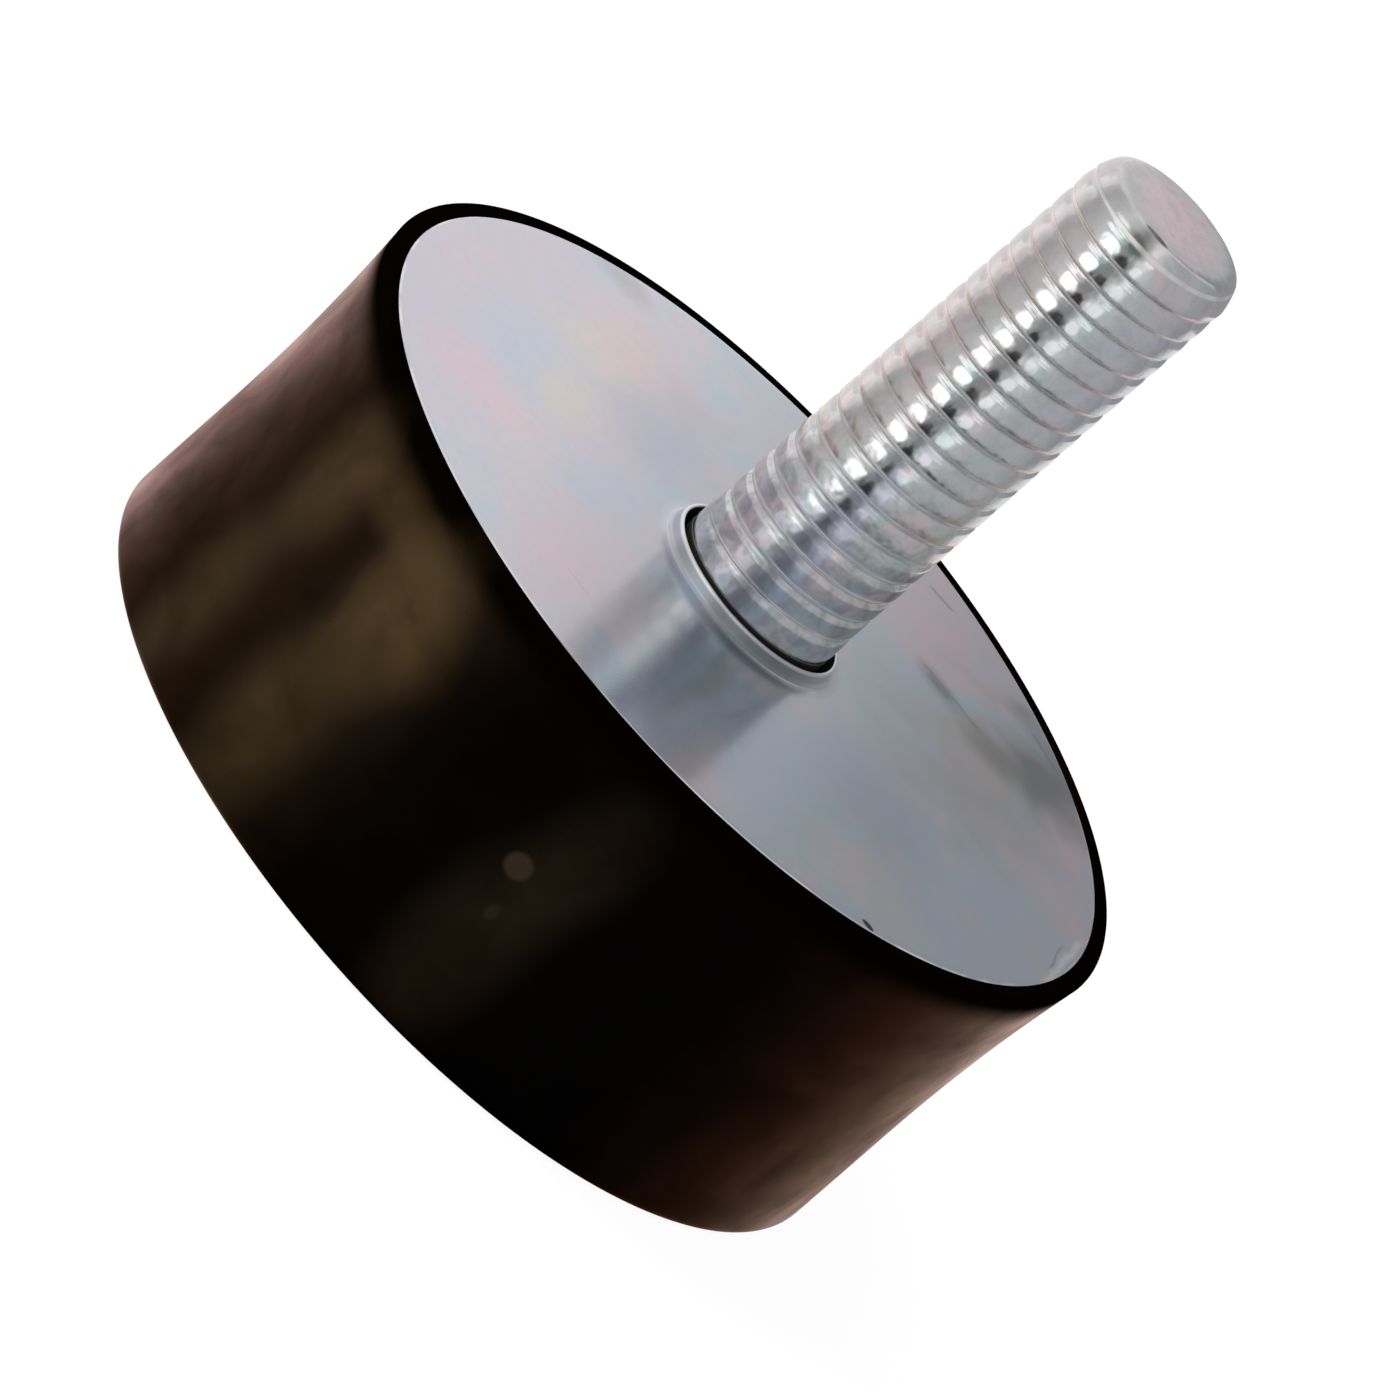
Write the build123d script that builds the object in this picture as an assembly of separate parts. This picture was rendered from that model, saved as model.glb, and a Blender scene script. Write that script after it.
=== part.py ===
from build123d import *
import math
import os

# Rubber anti-vibration mount with one threaded stud.
#
# A short rubber cylinder is moulded round a steel disc and the head of a bolt. The disc lies flush in the
# upper end of the rubber. The bolt comes up through a hole in the middle of the disc, and its shank is the
# stud that the mount is fixed by. The lower end is plain rubber.
#
# The origin is the centre of the rubber's lower face, and +Z runs up along the stud. Sizes are millimetres.

# Rubber body
BODY_DIA = 49.4
RIM_DIA = 51.0
BODY_HEIGHT = 20.2
FLARE_HEIGHT = 13.0
FOOT_EDGE_BEVEL = 0.55
RIM_EDGE_BEVEL = 0.25

# Steel disc
PLATE_DIA = 48.8
PLATE_THICKNESS = 2.0
PLATE_EDGE_BEVEL = 0.2
HOLE_LIP_HEIGHT = 0.78
HOLE_LIP_WIDTH = 1.0
HOLE_LIP_CREST = 0.2

# Bolt, an M10 x 1.5 with the head of a hexagon bolt
SHANK_DIA = 9.8
SHANK_CLEARANCE = 0.4
SHANK_STAND = 2.0
THREAD_DIA = 9.7
THREAD_PITCH = 1.5
RUNOUT_DEPTH = 0.35
STUD_LENGTH = 30.2
POINT_DIA = 8.6
POINT_CROWN = 0.06
HEAD_ACROSS_FLATS = 17.0
HEAD_HEIGHT = 6.4
WASHER_FACE_DIA = 15.6
WASHER_FACE_HEIGHT = 0.4
HEAD_CHAMFER_ANGLE = 30.0

# Places along the axis
plate_face_z = BODY_HEIGHT
plate_back_z = plate_face_z - PLATE_THICKNESS
head_end_z = plate_back_z - HEAD_HEIGHT
stud_tip_z = plate_face_z + STUD_LENGTH


def turned(outline):
    """Turn a closed outline, drawn as (radius, height), once round the Z axis."""
    return revolve(Plane.XZ * make_face(outline), Axis.Z)


def rubber_body(inserts):
    """Moulded rubber: a straight wall that flares out to the rim, with the metal inserts bonded in."""
    body_r, rim_r = BODY_DIA / 2, RIM_DIA / 2
    flare_start = (body_r, plate_face_z - FLARE_HEIGHT)
    flare_end = (rim_r, plate_face_z - RIM_EDGE_BEVEL)
    flare_bend = (body_r, (flare_start[1] + flare_end[1]) / 2)

    foot_and_wall = Polyline((0, 0), (body_r - FOOT_EDGE_BEVEL, 0), (body_r, FOOT_EDGE_BEVEL), flare_start)
    flare = Bezier(flare_start, flare_bend, flare_end)
    rim_and_middle = Polyline(flare_end, (rim_r - RIM_EDGE_BEVEL, plate_face_z), (0, plate_face_z), (0, 0))
    block = turned([foot_and_wall, flare, rim_and_middle])

    plate_pocket = Pos(0, 0, plate_face_z) * extrude(Circle(PLATE_DIA / 2), -PLATE_THICKNESS)
    return block - plate_pocket - inserts


def top_plate():
    """Punched disc with a bevelled outer edge and a low lip drawn up round its hole."""
    plate_r = PLATE_DIA / 2
    hole_r = SHANK_DIA / 2 + SHANK_CLEARANCE
    lip_top_z = plate_face_z + HOLE_LIP_HEIGHT
    crest = (hole_r + HOLE_LIP_CREST, lip_top_z)
    lip_foot = (hole_r + HOLE_LIP_WIDTH, plate_face_z)

    lip = TangentArc(lip_foot, crest, tangent=(-1, 0))
    rest = Polyline(crest, (hole_r, lip_top_z), (hole_r, plate_back_z), (plate_r, plate_back_z),
                    (plate_r, plate_face_z - PLATE_EDGE_BEVEL), (plate_r - PLATE_EDGE_BEVEL, plate_face_z),
                    lip_foot)
    return turned([lip, rest])


def bolt_head():
    """Hexagon head that hangs under the disc: a thin washer face, flats and a chamfered end."""
    flats_top_z = plate_back_z - WASHER_FACE_HEIGHT
    washer_face = Pos(0, 0, plate_back_z) * extrude(Circle(WASHER_FACE_DIA / 2), -WASHER_FACE_HEIGHT)
    hexagon = RegularPolygon(HEAD_ACROSS_FLATS / 2, 6, major_radius=False)
    flats = Pos(0, 0, flats_top_z) * extrude(hexagon, head_end_z - flats_top_z)

    # the end is turned to a cone that starts on the flats and cuts the six corners back
    corner_r = hexagon.vertices().sort_by(Axis.X)[-1].X
    end_r = WASHER_FACE_DIA / 2
    cone_rise = (corner_r - end_r) * math.tan(math.radians(HEAD_CHAMFER_ANGLE))
    envelope = Polyline((0, head_end_z), (end_r, head_end_z), (corner_r, head_end_z + cone_rise),
                        (corner_r, flats_top_z), (0, flats_top_z), close=True)
    return washer_face + (flats & turned([envelope]))


def stud_bolt():
    """Bolt with a plain shank under the thread, a run-out groove and a crowned point.

    The thread stands as the cylinder over its crests.
    """
    shank_r, thread_r, point_r = SHANK_DIA / 2, THREAD_DIA / 2, POINT_DIA / 2
    shank_end_z = plate_face_z + SHANK_STAND
    thread_start_z = shank_end_z + THREAD_PITCH / 2
    point_start_z = stud_tip_z - THREAD_PITCH
    groove = (thread_r - RUNOUT_DEPTH, (shank_end_z + thread_start_z) / 2)
    point_start = (thread_r, point_start_z)
    point_end = (point_r, stud_tip_z)

    side = Polyline((0, plate_back_z), (shank_r, plate_back_z), (shank_r, shank_end_z), groove,
                    (thread_r, thread_start_z), point_start)
    point = SagittaArc(point_start, point_end, -POINT_CROWN)
    middle = Polyline(point_end, (0, stud_tip_z), (0, plate_back_z))
    return bolt_head() + turned([side, point, middle])


def main():
    """Build every piece and write one STEP file for each."""
    head = bolt_head()
    pieces = {
        "rubber_body": rubber_body(head),
        "top_plate": top_plate(),
        "stud_bolt": stud_bolt(),
    }
    os.makedirs("parts", exist_ok=True)
    for node, shape in pieces.items():
        export_step(shape, f"parts/{node}.step")


main()
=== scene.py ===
"""Rubber anti-vibration mount with one threaded stud, dressed for close views.

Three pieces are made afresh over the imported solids, each with the form of the solid it stands for: the
moulded rubber body, the zinc plated disc that is bonded flush in its flared end, and the zinc plated bolt
whose thread stands up through the disc. Lengths in the classes are millimetres, and every mesh is written
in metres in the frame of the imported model.
"""

from __future__ import annotations

import logging
import math
from dataclasses import dataclass, field
from enum import Enum
from typing import Sequence, Union

import bpy
import numpy as np
from mathutils import Matrix, Vector

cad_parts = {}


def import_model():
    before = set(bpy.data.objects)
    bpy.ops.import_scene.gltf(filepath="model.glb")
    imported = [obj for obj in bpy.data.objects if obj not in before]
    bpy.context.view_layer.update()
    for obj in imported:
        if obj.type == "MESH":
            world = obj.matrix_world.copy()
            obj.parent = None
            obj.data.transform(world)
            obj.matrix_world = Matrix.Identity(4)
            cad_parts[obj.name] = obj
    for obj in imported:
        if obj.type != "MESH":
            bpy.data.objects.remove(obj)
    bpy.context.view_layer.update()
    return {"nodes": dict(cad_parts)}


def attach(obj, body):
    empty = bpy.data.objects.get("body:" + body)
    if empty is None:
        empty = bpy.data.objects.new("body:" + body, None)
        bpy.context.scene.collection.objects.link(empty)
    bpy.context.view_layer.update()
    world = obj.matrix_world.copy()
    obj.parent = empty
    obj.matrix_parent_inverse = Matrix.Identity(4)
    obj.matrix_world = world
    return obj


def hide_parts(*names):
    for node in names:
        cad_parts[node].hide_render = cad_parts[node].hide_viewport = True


LOG = logging.getLogger("mount")
MM = 0.001
ROOT_BODY = "root"
# height of the disc's face and of the rubber's rim beside it
FACE_Z = 20.2

Number = Union["Value", float]
Point = tuple[float, float]
Triple = tuple[float, float, float]
# the two ends of a blend: where it starts and where it is full, or the values that it has there
Span = tuple[float, float]
Socket = bpy.types.NodeSocket


class Ray(Enum):
    """Kinds of ray that floor and surroundings look different to."""

    CAMERA = "Is Camera Ray"
    GLOSSY = "Is Glossy Ray"
    TRANSMISSION = "Is Transmission Ray"


class Value:
    """One number of a shader. Python's operators on it add the Math nodes of the expression."""

    def __init__(self, graph: "Graph", socket: Socket) -> None:
        """Keep the socket that carries the number.

        Args:
            graph: The graph that the socket is in, which new nodes are added to.
            socket: The output socket.
        """
        self.graph = graph
        self.socket = socket

    def math(self, operation: str, *operands: Number, clamped: bool = False) -> "Value":
        """Add one Math node.

        Args:
            operation: The node's operation, such as "ADD".
            operands: All of its inputs in order.
            clamped: Whether its result is kept from 0 to 1.

        Returns:
            The node's result.
        """
        settings = {"operation": operation, "use_clamp": clamped}
        node = self.graph.node("ShaderNodeMath", settings, dict(enumerate(operands)))
        return Value(self.graph, node.outputs[0])

    def __add__(self, other: Number) -> "Value":
        """Sum."""
        return self.math("ADD", self, other)

    __radd__ = __add__

    def __sub__(self, other: Number) -> "Value":
        """Difference."""
        return self.math("SUBTRACT", self, other)

    def __rsub__(self, other: Number) -> "Value":
        """Difference, with the number first."""
        return self.math("SUBTRACT", other, self)

    def __mul__(self, other: Number) -> "Value":
        """Product."""
        return self.math("MULTIPLY", self, other)

    __rmul__ = __mul__

    def __truediv__(self, other: Number) -> "Value":
        """Quotient."""
        return self.math("DIVIDE", self, other)

    def __neg__(self) -> "Value":
        """The number with its sign changed."""
        return self.math("MULTIPLY", self, -1.0)

    def __abs__(self) -> "Value":
        """The number without its sign."""
        return self.math("ABSOLUTE", self)

    def clamped(self) -> "Value":
        """The number kept from 0 to 1."""
        return self.math("ADD", self, 0.0, clamped=True)

    def root(self) -> "Value":
        """Square root."""
        return self.math("SQRT", self)

    def fraction(self) -> "Value":
        """What is left of the number above the whole number below it."""
        return self.math("FRACT", self)

    def most(self, other: Number) -> "Value":
        """The larger of the two."""
        return self.math("MAXIMUM", self, other)

    def hypotenuse(self, other: "Value") -> "Value":
        """Distance of a point from an axis, where the two are its places across it."""
        return (self * self + other * other).root()

    def between(self, first: float, last: float) -> "Value":
        """A number that runs from 0 to 1, stretched so that it runs from first to last."""
        return first + (last - first) * self

    def step(self, low: float, high: float) -> "Value":
        """A smooth step.

        Args:
            low: Where the result is 0.
            high: Where the result is 1. It may lie below low, and the step then falls.

        Returns:
            The step's value, from 0 to 1.
        """
        settings = {"data_type": "FLOAT", "interpolation_type": "SMOOTHSTEP", "clamp": True}
        start, end, first, last = (low, high, 0.0, 1.0) if low < high else (high, low, 1.0, 0.0)
        inputs = {"Value": self, "From Min": start, "From Max": end, "To Min": first, "To Max": last}
        return Value(self.graph, self.graph.node("ShaderNodeMapRange", settings, inputs).outputs[0])


Source = Union[Value, Socket, float, Sequence[float]]


@dataclass(frozen=True)
class Grain:
    """One kind of noise: the size of its largest features in millimetres, and the finer layers over them."""

    feature: float
    detail: float = 2.0
    roughness: float = 0.5
    distortion: float = 0.0


class Graph:
    """The node tree of one material or world, with one method that adds any node."""

    def __init__(self, tree: bpy.types.NodeTree) -> None:
        """Start from an empty tree.

        Args:
            tree: The node tree, which is cleared.
        """
        self.tree = tree
        tree.nodes.clear()

    def node(self, kind: str, settings: dict[str, object] | None = None,
             inputs: dict[str | int, Source] | None = None) -> bpy.types.Node:
        """Add one node.

        Args:
            kind: The node's type.
            settings: Its settings by name, set before its inputs. "stops" holds the place and colour of each
                stop of a ramp.
            inputs: Values or links of its input sockets, by name or number.

        Returns:
            The new node.
        """
        node = self.tree.nodes.new(kind)
        for name, value in (settings or {}).items():
            if name == "stops":
                self._stops(node, value)
            else:
                setattr(node, name, value)
        for name, value in (inputs or {}).items():
            self.feed(node.inputs[name], value)
        return node

    @staticmethod
    def _stops(node: bpy.types.Node, stops: Sequence[tuple[float, Sequence[float]]]) -> None:
        """Set the stops of a colour ramp.

        Args:
            node: The ramp's node.
            stops: Place and colour of each stop.
        """
        elements = node.color_ramp.elements
        while len(elements) < len(stops):
            elements.new(1.0)
        for element, (place, colour) in zip(elements, stops):
            element.position = place
            element.color = (*colour, 1.0)

    def feed(self, socket: Socket, value: Source) -> None:
        """Link or set one input socket.

        Args:
            socket: The input socket.
            value: A value of this graph, an output socket, a number, or a vector or colour.
        """
        if isinstance(value, Value):
            self.tree.links.new(value.socket, socket)
        elif isinstance(value, Socket):
            self.tree.links.new(value, socket)
        elif isinstance(value, (int, float)):
            socket.default_value = value
        else:
            lacks_alpha = socket.type == "RGBA" and len(value) == 3
            socket.default_value = (*value, 1.0) if lacks_alpha else tuple(value)

    def place(self) -> Socket:
        """The point on the piece in millimetres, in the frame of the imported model."""
        point = self.node("ShaderNodeTexCoord").outputs["Object"]
        return self.scaled(point, (1 / MM, 1 / MM, 1 / MM))

    def scaled(self, vector: Socket, factors: Sequence[float]) -> Socket:
        """A vector with its parts multiplied by factors."""
        node = self.node("ShaderNodeVectorMath", {"operation": "MULTIPLY"}, {0: vector, 1: factors})
        return node.outputs[0]

    def parts(self, vector: Socket) -> tuple[Value, Value, Value]:
        """The three parts of a vector."""
        x, y, z = self.node("ShaderNodeSeparateXYZ", None, {0: vector}).outputs
        return Value(self, x), Value(self, y), Value(self, z)

    def joined(self, x: Number, y: Number, z: Number) -> Socket:
        """A vector from its three parts."""
        return self.node("ShaderNodeCombineXYZ", None, {0: x, 1: y, 2: z}).outputs[0]

    def noise(self, vector: Socket, grain: Grain) -> Value:
        """Noise with its mean at one half.

        Args:
            vector: Where it is read, in millimetres.
            grain: Its kind.

        Returns:
            The noise, about 0 to 1.
        """
        inputs = {"Vector": vector, "Scale": 1 / grain.feature, "Detail": grain.detail,
                  "Roughness": grain.roughness, "Distortion": grain.distortion}
        return Value(self, self.node("ShaderNodeTexNoise", None, inputs).outputs[0])

    def mix(self, factor: Number, first: Source, second: Source) -> Socket:
        """Lay one colour over another.

        Args:
            factor: Share of the second colour, from 0 to 1.
            first: The colour below.
            second: The colour above.

        Returns:
            The mixed colour.
        """
        return self.node("ShaderNodeMix", {"data_type": "RGBA"}, {0: factor, 6: first, 7: second}).outputs[2]

    def ramp(self, value: Value, stops: Sequence[tuple[float, Sequence[float]]]) -> Socket:
        """A colour that depends on a number, by a ramp's stops."""
        return self.node("ShaderNodeValToRGB", {"stops": stops}, {0: value}).outputs[0]

    def bump(self, height: Value, distance: float, strength: float = 1.0) -> Socket:
        """A normal tilted by a height.

        Args:
            height: The height, where 1 stands distance higher than 0.
            distance: That difference in millimetres.
            strength: Share of the tilt that shows.

        Returns:
            The tilted normal.
        """
        inputs = {"Strength": strength, "Distance": distance * MM, "Height": height}
        return self.node("ShaderNodeBump", None, inputs).outputs[0]

    def layered(self, factor: Number, first: bpy.types.Node, second: bpy.types.Node) -> bpy.types.Node:
        """Mix one shader into another.

        Args:
            factor: Share of the second shader, from 0 to 1.
            first: The shader below.
            second: The shader above.

        Returns:
            The mixed shader.
        """
        inputs = {0: factor, 1: first.outputs[0], 2: second.outputs[0]}
        return self.node("ShaderNodeMixShader", None, inputs)

    def put_out(self, shader: bpy.types.Node, kind: str = "ShaderNodeOutputMaterial") -> None:
        """Make one shader what the material or world puts out."""
        self.node(kind, None, {"Surface": shader.outputs[0]})


def new_material(name: str) -> tuple[bpy.types.Material, Graph]:
    """Start a material with an empty graph.

    Args:
        name: The material's name.

    Returns:
        The material and its graph.
    """
    material = bpy.data.materials.new(name)
    material.use_nodes = True
    return material, Graph(material.node_tree)


@dataclass(frozen=True)
class Patch:
    """A place on a surface that differs from the rest, as an ellipsoid that the surface passes through.

    Its middle and its reach each way are millimetres. The edge is crisp at a softness near 0.
    """

    centre: Triple
    reach: Triple
    strength: float = 1.0
    colour: Triple = (0.0, 0.0, 0.0)
    softness: float = 1.0

    def mask(self, graph: Graph, place: Socket, ragged: Number = 0.0) -> Value:
        """How far a point is in the patch.

        Args:
            graph: The material's graph.
            place: The point on the piece in millimetres.
            ragged: What is added to the distance from the middle, where the reach counts as 1.

        Returns:
            The strength in the middle, and 0 outside.
        """
        offset = graph.node("ShaderNodeVectorMath", {"operation": "SUBTRACT"}, {0: place, 1: self.centre})
        offset = graph.scaled(offset.outputs[0], tuple(1 / reach for reach in self.reach))
        length = graph.node("ShaderNodeVectorMath", {"operation": "LENGTH"}, {0: offset})
        share = Value(graph, length.outputs["Value"]) + ragged
        return share.step(1 + self.softness / 2, 1 - self.softness / 2) * self.strength


@dataclass(frozen=True)
class LineMark:
    """A fine line on the disc from one point to another in millimetres: mostly scratches, and one painted
    highlight along a crease by the edge.

    It fades towards its ends, over shares of its length from its middle.
    """

    start: Point
    end: Point
    width: float
    strength: float
    colour: Triple = (0.22, 0.22, 0.26)
    ends: Span = (0.5, 0.3)

    def mask(self, x: Value, y: Value, wander: Value) -> Value:
        """How far a point is in the scratch.

        Args:
            x: The point's place along X in millimetres.
            y: Its place along Y.
            wander: How far the scratch strays sideways there.

        Returns:
            The strength along the scratch, and 0 beside it.
        """
        run = Vector(self.end) - Vector(self.start)
        way = run.normalized()
        along = (x - self.start[0]) * way.x + (y - self.start[1]) * way.y
        across = (y - self.start[1]) * way.x - (x - self.start[0]) * way.y + wander
        from_middle = abs(along / run.length - 0.5)
        return abs(across).step(self.width, 0.0) * from_middle.step(*self.ends) * self.strength


class Tint(Enum):
    """Tints of the thin iridescent film on the disc and of its stains; some also paint reflections and shade
    on it.
    """

    SALMON = (0.69, 0.55, 0.565)
    PINK = (0.70, 0.54, 0.60)
    SAND = (0.68, 0.61, 0.53)
    LAVENDER = (0.60, 0.555, 0.64)
    SKY = (0.49, 0.575, 0.70)
    TEAL = (0.42, 0.555, 0.62)
    SLATE = (0.40, 0.47, 0.58)
    SEA = (0.24, 0.31, 0.32)
    PALE = (0.74, 0.76, 0.82)
    GREY = (0.38, 0.38, 0.38)
    DARK = (0.17, 0.18, 0.18)


def on_face(x: float, y: float, reach_x: float, reach_y: float, tint: Tint, strength: float = 0.5,
            softness: float = 1.7, reach_up: float = 4.0) -> Patch:
    """A soft patch of tinted film on the disc's face; some of these patches are painted reflection and shade.

    Args:
        x: Its middle along X in millimetres.
        y: Its middle along Y.
        reach_x: Its reach along X.
        reach_y: Its reach along Y.
        tint: Its colour.
        strength: How strong it is in the middle.
        softness: How soft its edge is.
        reach_up: How far up the lip it reaches, where it also fades.

    Returns:
        The patch.
    """
    return Patch((x, y, FACE_Z), (reach_x, reach_y, reach_up), strength, tint.value, softness)


@dataclass(frozen=True)
class RubberFinish:
    """Black moulded rubber with clouds of faint brown bloom, which on the front left are partly painted
    sheen.

    Its gloss is a thin coat that wears off towards the dull, dead black rim beside the disc.
    """

    name: str = "black_rubber"
    black: Triple = (0.0012, 0.0006, 0.0004)
    bloom_and_sheen: Triple = (0.060, 0.036, 0.014)
    mark_grey: Triple = (0.060, 0.040, 0.024)
    broad: Grain = Grain(6.0, 3.0, 0.55, 0.6)
    cloudy: Grain = Grain(2.4, 4.0, 0.6, 0.3)
    fine: Grain = Grain(0.35, 3.0, 0.6)
    broad_raggedness: float = 0.9
    cloudy_raggedness: float = 0.5
    least_bloom: float = 0.02
    cloudy_bloom_and_sheen: Span = (0.45, 0.95)
    broad_bloom_and_sheen: float = 0.6
    bloom_and_sheen_levels: Span = (0.35, 0.65)
    roughness: float = 0.6
    gloss: float = 0.75
    cloudy_gloss: Span = (0.6, 0.85)
    cloudy_levels: Span = (0.3, 0.7)
    broad_gloss: float = 0.5
    broad_levels: Span = (0.32, 0.68)
    gloss_roughness: float = 0.22
    gloss_heights: Span = (19.6, 17.6)
    relief: float = 0.05
    relief_shown: float = 0.45
    fine_relief: float = 0.3
    cloudy_relief: float = 0.7
    # brown bloom; the clouds on the front left, towards -X and -Y, are partly painted sheen
    bloom_and_sheen_clouds: tuple[Patch, ...] = (
        Patch((-10.6, -22.3, 14.0), (3.0, 3.0, 4.2), 1.0, softness=1.3),
        Patch((-11.5, -21.9, 5.5), (2.6, 2.6, 4.5), 0.45, softness=1.5),
        Patch((-17.8, -17.2, 14.5), (2.4, 2.4, 3.6), 0.6, softness=1.4),
        Patch((-18.2, -16.6, 5.0), (2.3, 2.3, 4.5), 0.38, softness=1.5),
        Patch((-14.6, -20.0, 17.0), (4.0, 4.0, 1.5), 0.5, softness=1.4),
        Patch((3.4, -24.5, 6.0), (2.4, 2.4, 5.5), 0.32, softness=1.6),
        Patch((4.6, -24.3, 13.5), (2.0, 2.0, 4.0), 0.25, softness=1.6),
        Patch((22.5, -10.2, 8.0), (4.0, 4.0, 6.0), 0.2, softness=1.6),
        Patch((-3.0, 24.5, 9.0), (6.0, 6.0, 7.0), 0.3, softness=1.6),
        Patch((17.0, 18.0, 13.0), (4.0, 4.0, 5.0), 0.3, softness=1.6),
        Patch((-20.0, 14.5, 6.0), (4.0, 4.0, 5.0), 0.3, softness=1.6))
    marks: tuple[Patch, ...] = (
        Patch((2.42, -24.6, 10.9), (0.75, 0.75, 0.75), 0.8, softness=0.45),
        Patch((3.25, -24.5, 8.2), (0.35, 0.35, 0.5), 0.35, softness=0.7))

    def material(self) -> bpy.types.Material:
        """Build the material.

        Returns:
            The material, ready for the rubber's mesh.
        """
        material, graph = new_material(self.name)
        shader = graph.node("ShaderNodeBsdfPrincipled")
        graph.put_out(shader)
        place = graph.place()
        z = graph.parts(place)[2]
        broad, cloudy, fine = (graph.noise(place, grain) for grain in (self.broad, self.cloudy, self.fine))
        ragged = (broad - 0.5) * self.broad_raggedness + (cloudy - 0.5) * self.cloudy_raggedness
        thickness = cloudy.between(*self.cloudy_bloom_and_sheen) + self.broad_bloom_and_sheen * broad.step(*self.bloom_and_sheen_levels)
        bloom_and_sheen_share = self.least_bloom * cloudy
        for cloud in self.bloom_and_sheen_clouds:
            bloom_and_sheen_share = bloom_and_sheen_share + cloud.mask(graph, place, ragged) * thickness
        # brown bloom, partly painted sheen where the clouds lie on the front left
        colour = graph.mix(bloom_and_sheen_share.clamped(), self.black, self.bloom_and_sheen)
        for mark in self.marks:
            colour = graph.mix(mark.mask(graph, place), colour, self.mark_grey)
        graph.feed(shader.inputs["Base Color"], colour)
        mottled = cloudy.step(*self.cloudy_levels).between(*self.cloudy_gloss)
        mottled = mottled + self.broad_gloss * broad.step(*self.broad_levels)
        glossy = z.step(*self.gloss_heights) * mottled * self.gloss
        graph.feed(shader.inputs["Coat Weight"], glossy.clamped())
        shader.inputs["Coat Roughness"].default_value = self.gloss_roughness
        shader.inputs["Roughness"].default_value = self.roughness
        shader.inputs["Specular IOR Level"].default_value = 0.0
        height = fine * self.fine_relief + cloudy * self.cloudy_relief
        graph.feed(shader.inputs["Normal"], graph.bump(height, self.relief, self.relief_shown))
        return material


@dataclass(frozen=True)
class ZincFinish:
    """Bright zinc plating with a faint iridescent film, on brushed or rolled steel.

    The film's tints are mixed by slow noise, and the zinc turns black and not metallic in the narrow gap
    round the bolt.
    Levels are those of a noise, from 0 to 1.
    """

    name: str
    zinc: Triple
    rose: Triple
    blue: Triple
    roughness: float
    tint_size: float
    hairline_depth: float
    wave_depth: float
    waves_below: float
    gap_black_below: float
    gap_black_radius: float
    stains_and_painted_light: tuple[Patch, ...]
    gap_black: Triple = (0.012, 0.008, 0.006)
    gap_black_fade: float = 0.12
    gap_black_edge: float = 0.05
    gap_black_roughness: float = 0.4
    tint_levels: Span = (0.48, 0.72)
    tint_distortion: float = 0.5
    cool_share: float = 0.8
    warm_raggedness: float = 1.2
    cool_raggedness: float = 0.8
    pits: Grain = Grain(0.5, 3.0, 0.6)
    pit_relief: float = 0.24
    pitted_roughness: float = 0.18
    hairlines: Grain = Grain(0.22, 4.0, 0.65)
    hairline_relief: float = 0.36
    hairline_squeeze: Triple = (1.0, 2.2, 1.0)
    waves: Grain = Grain(1.4, 2.0, 0.55)
    wave_squeeze: Triple = (1.0, 1.0, 0.8)
    waves_fade: float = 0.6

    def wear_and_painted_light(self, graph: Graph, place: Socket, film: Socket, roughness: Value) -> tuple[Socket, Value]:
        """Lay this piece's own wear, and the highlights and shade painted on it, over the plating.

        Args:
            graph: The material's graph.
            place: The point on the piece in millimetres.
            film: The plating's colour.
            roughness: Its roughness.

        Returns:
            The colour and roughness with the wear.
        """
        raise NotImplementedError

    def material(self) -> bpy.types.Material:
        """Build the material.

        Returns:
            The material, ready for a mesh round the stud's axis.
        """
        material, graph = new_material(self.name)
        shader = graph.node("ShaderNodeBsdfPrincipled")
        graph.put_out(shader)
        place = graph.place()
        x, y, z = graph.parts(place)
        radius = x.hypotenuse(y)
        warm = graph.noise(place, Grain(self.tint_size, distortion=self.tint_distortion))
        # read at mirrored places, so that the two tints lie apart
        mirrored = graph.scaled(place, (1.0, -1.0, 1.0))
        cool_size = self.tint_size * self.cool_share
        cool = graph.noise(mirrored, Grain(cool_size, distortion=self.tint_distortion))
        pits = graph.noise(place, self.pits)
        film = graph.mix(warm.step(*self.tint_levels), self.zinc, self.rose)
        film = graph.mix(cool.step(*self.tint_levels), film, self.blue)
        ragged = (warm - 0.5) * self.warm_raggedness + (cool - 0.5) * self.cool_raggedness
        # film tints and stains; some of these patches paint reflections and shade
        for tinted_patch in self.stains_and_painted_light:
            film = graph.mix(tinted_patch.mask(graph, place, ragged * tinted_patch.softness), film, tinted_patch.colour)
        roughness = self.roughness + (pits - 0.5) * self.pitted_roughness
        film, roughness = self.wear_and_painted_light(graph, place, film, roughness)
        # black, not metallic and rough in the narrow gap round the bolt: low on the shank and inside the
        # disc's hole
        gap = z.step(self.gap_black_below + self.gap_black_fade, self.gap_black_below)
        gap = gap * radius.step(self.gap_black_radius, self.gap_black_radius - self.gap_black_edge)
        graph.feed(shader.inputs["Base Color"], graph.mix(gap, film, self.gap_black))
        graph.feed(shader.inputs["Metallic"], 1.0 - gap)
        graph.feed(shader.inputs["Roughness"], (roughness + gap * self.gap_black_roughness).clamped())
        around = graph.joined(radius, x.math("ARCTAN2", x, -y), z)
        hairlines = graph.noise(graph.scaled(around, self.hairline_squeeze), self.hairlines)
        waves = graph.noise(graph.scaled(place, self.wave_squeeze), self.waves)
        waves = waves * z.step(self.waves_below, self.waves_below - self.waves_fade)
        fine = hairlines * self.hairline_relief + pits * self.pit_relief
        height = fine * self.hairline_depth + waves * self.wave_depth
        graph.feed(shader.inputs["Normal"], graph.bump(height, 1.0))
        return material


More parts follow.
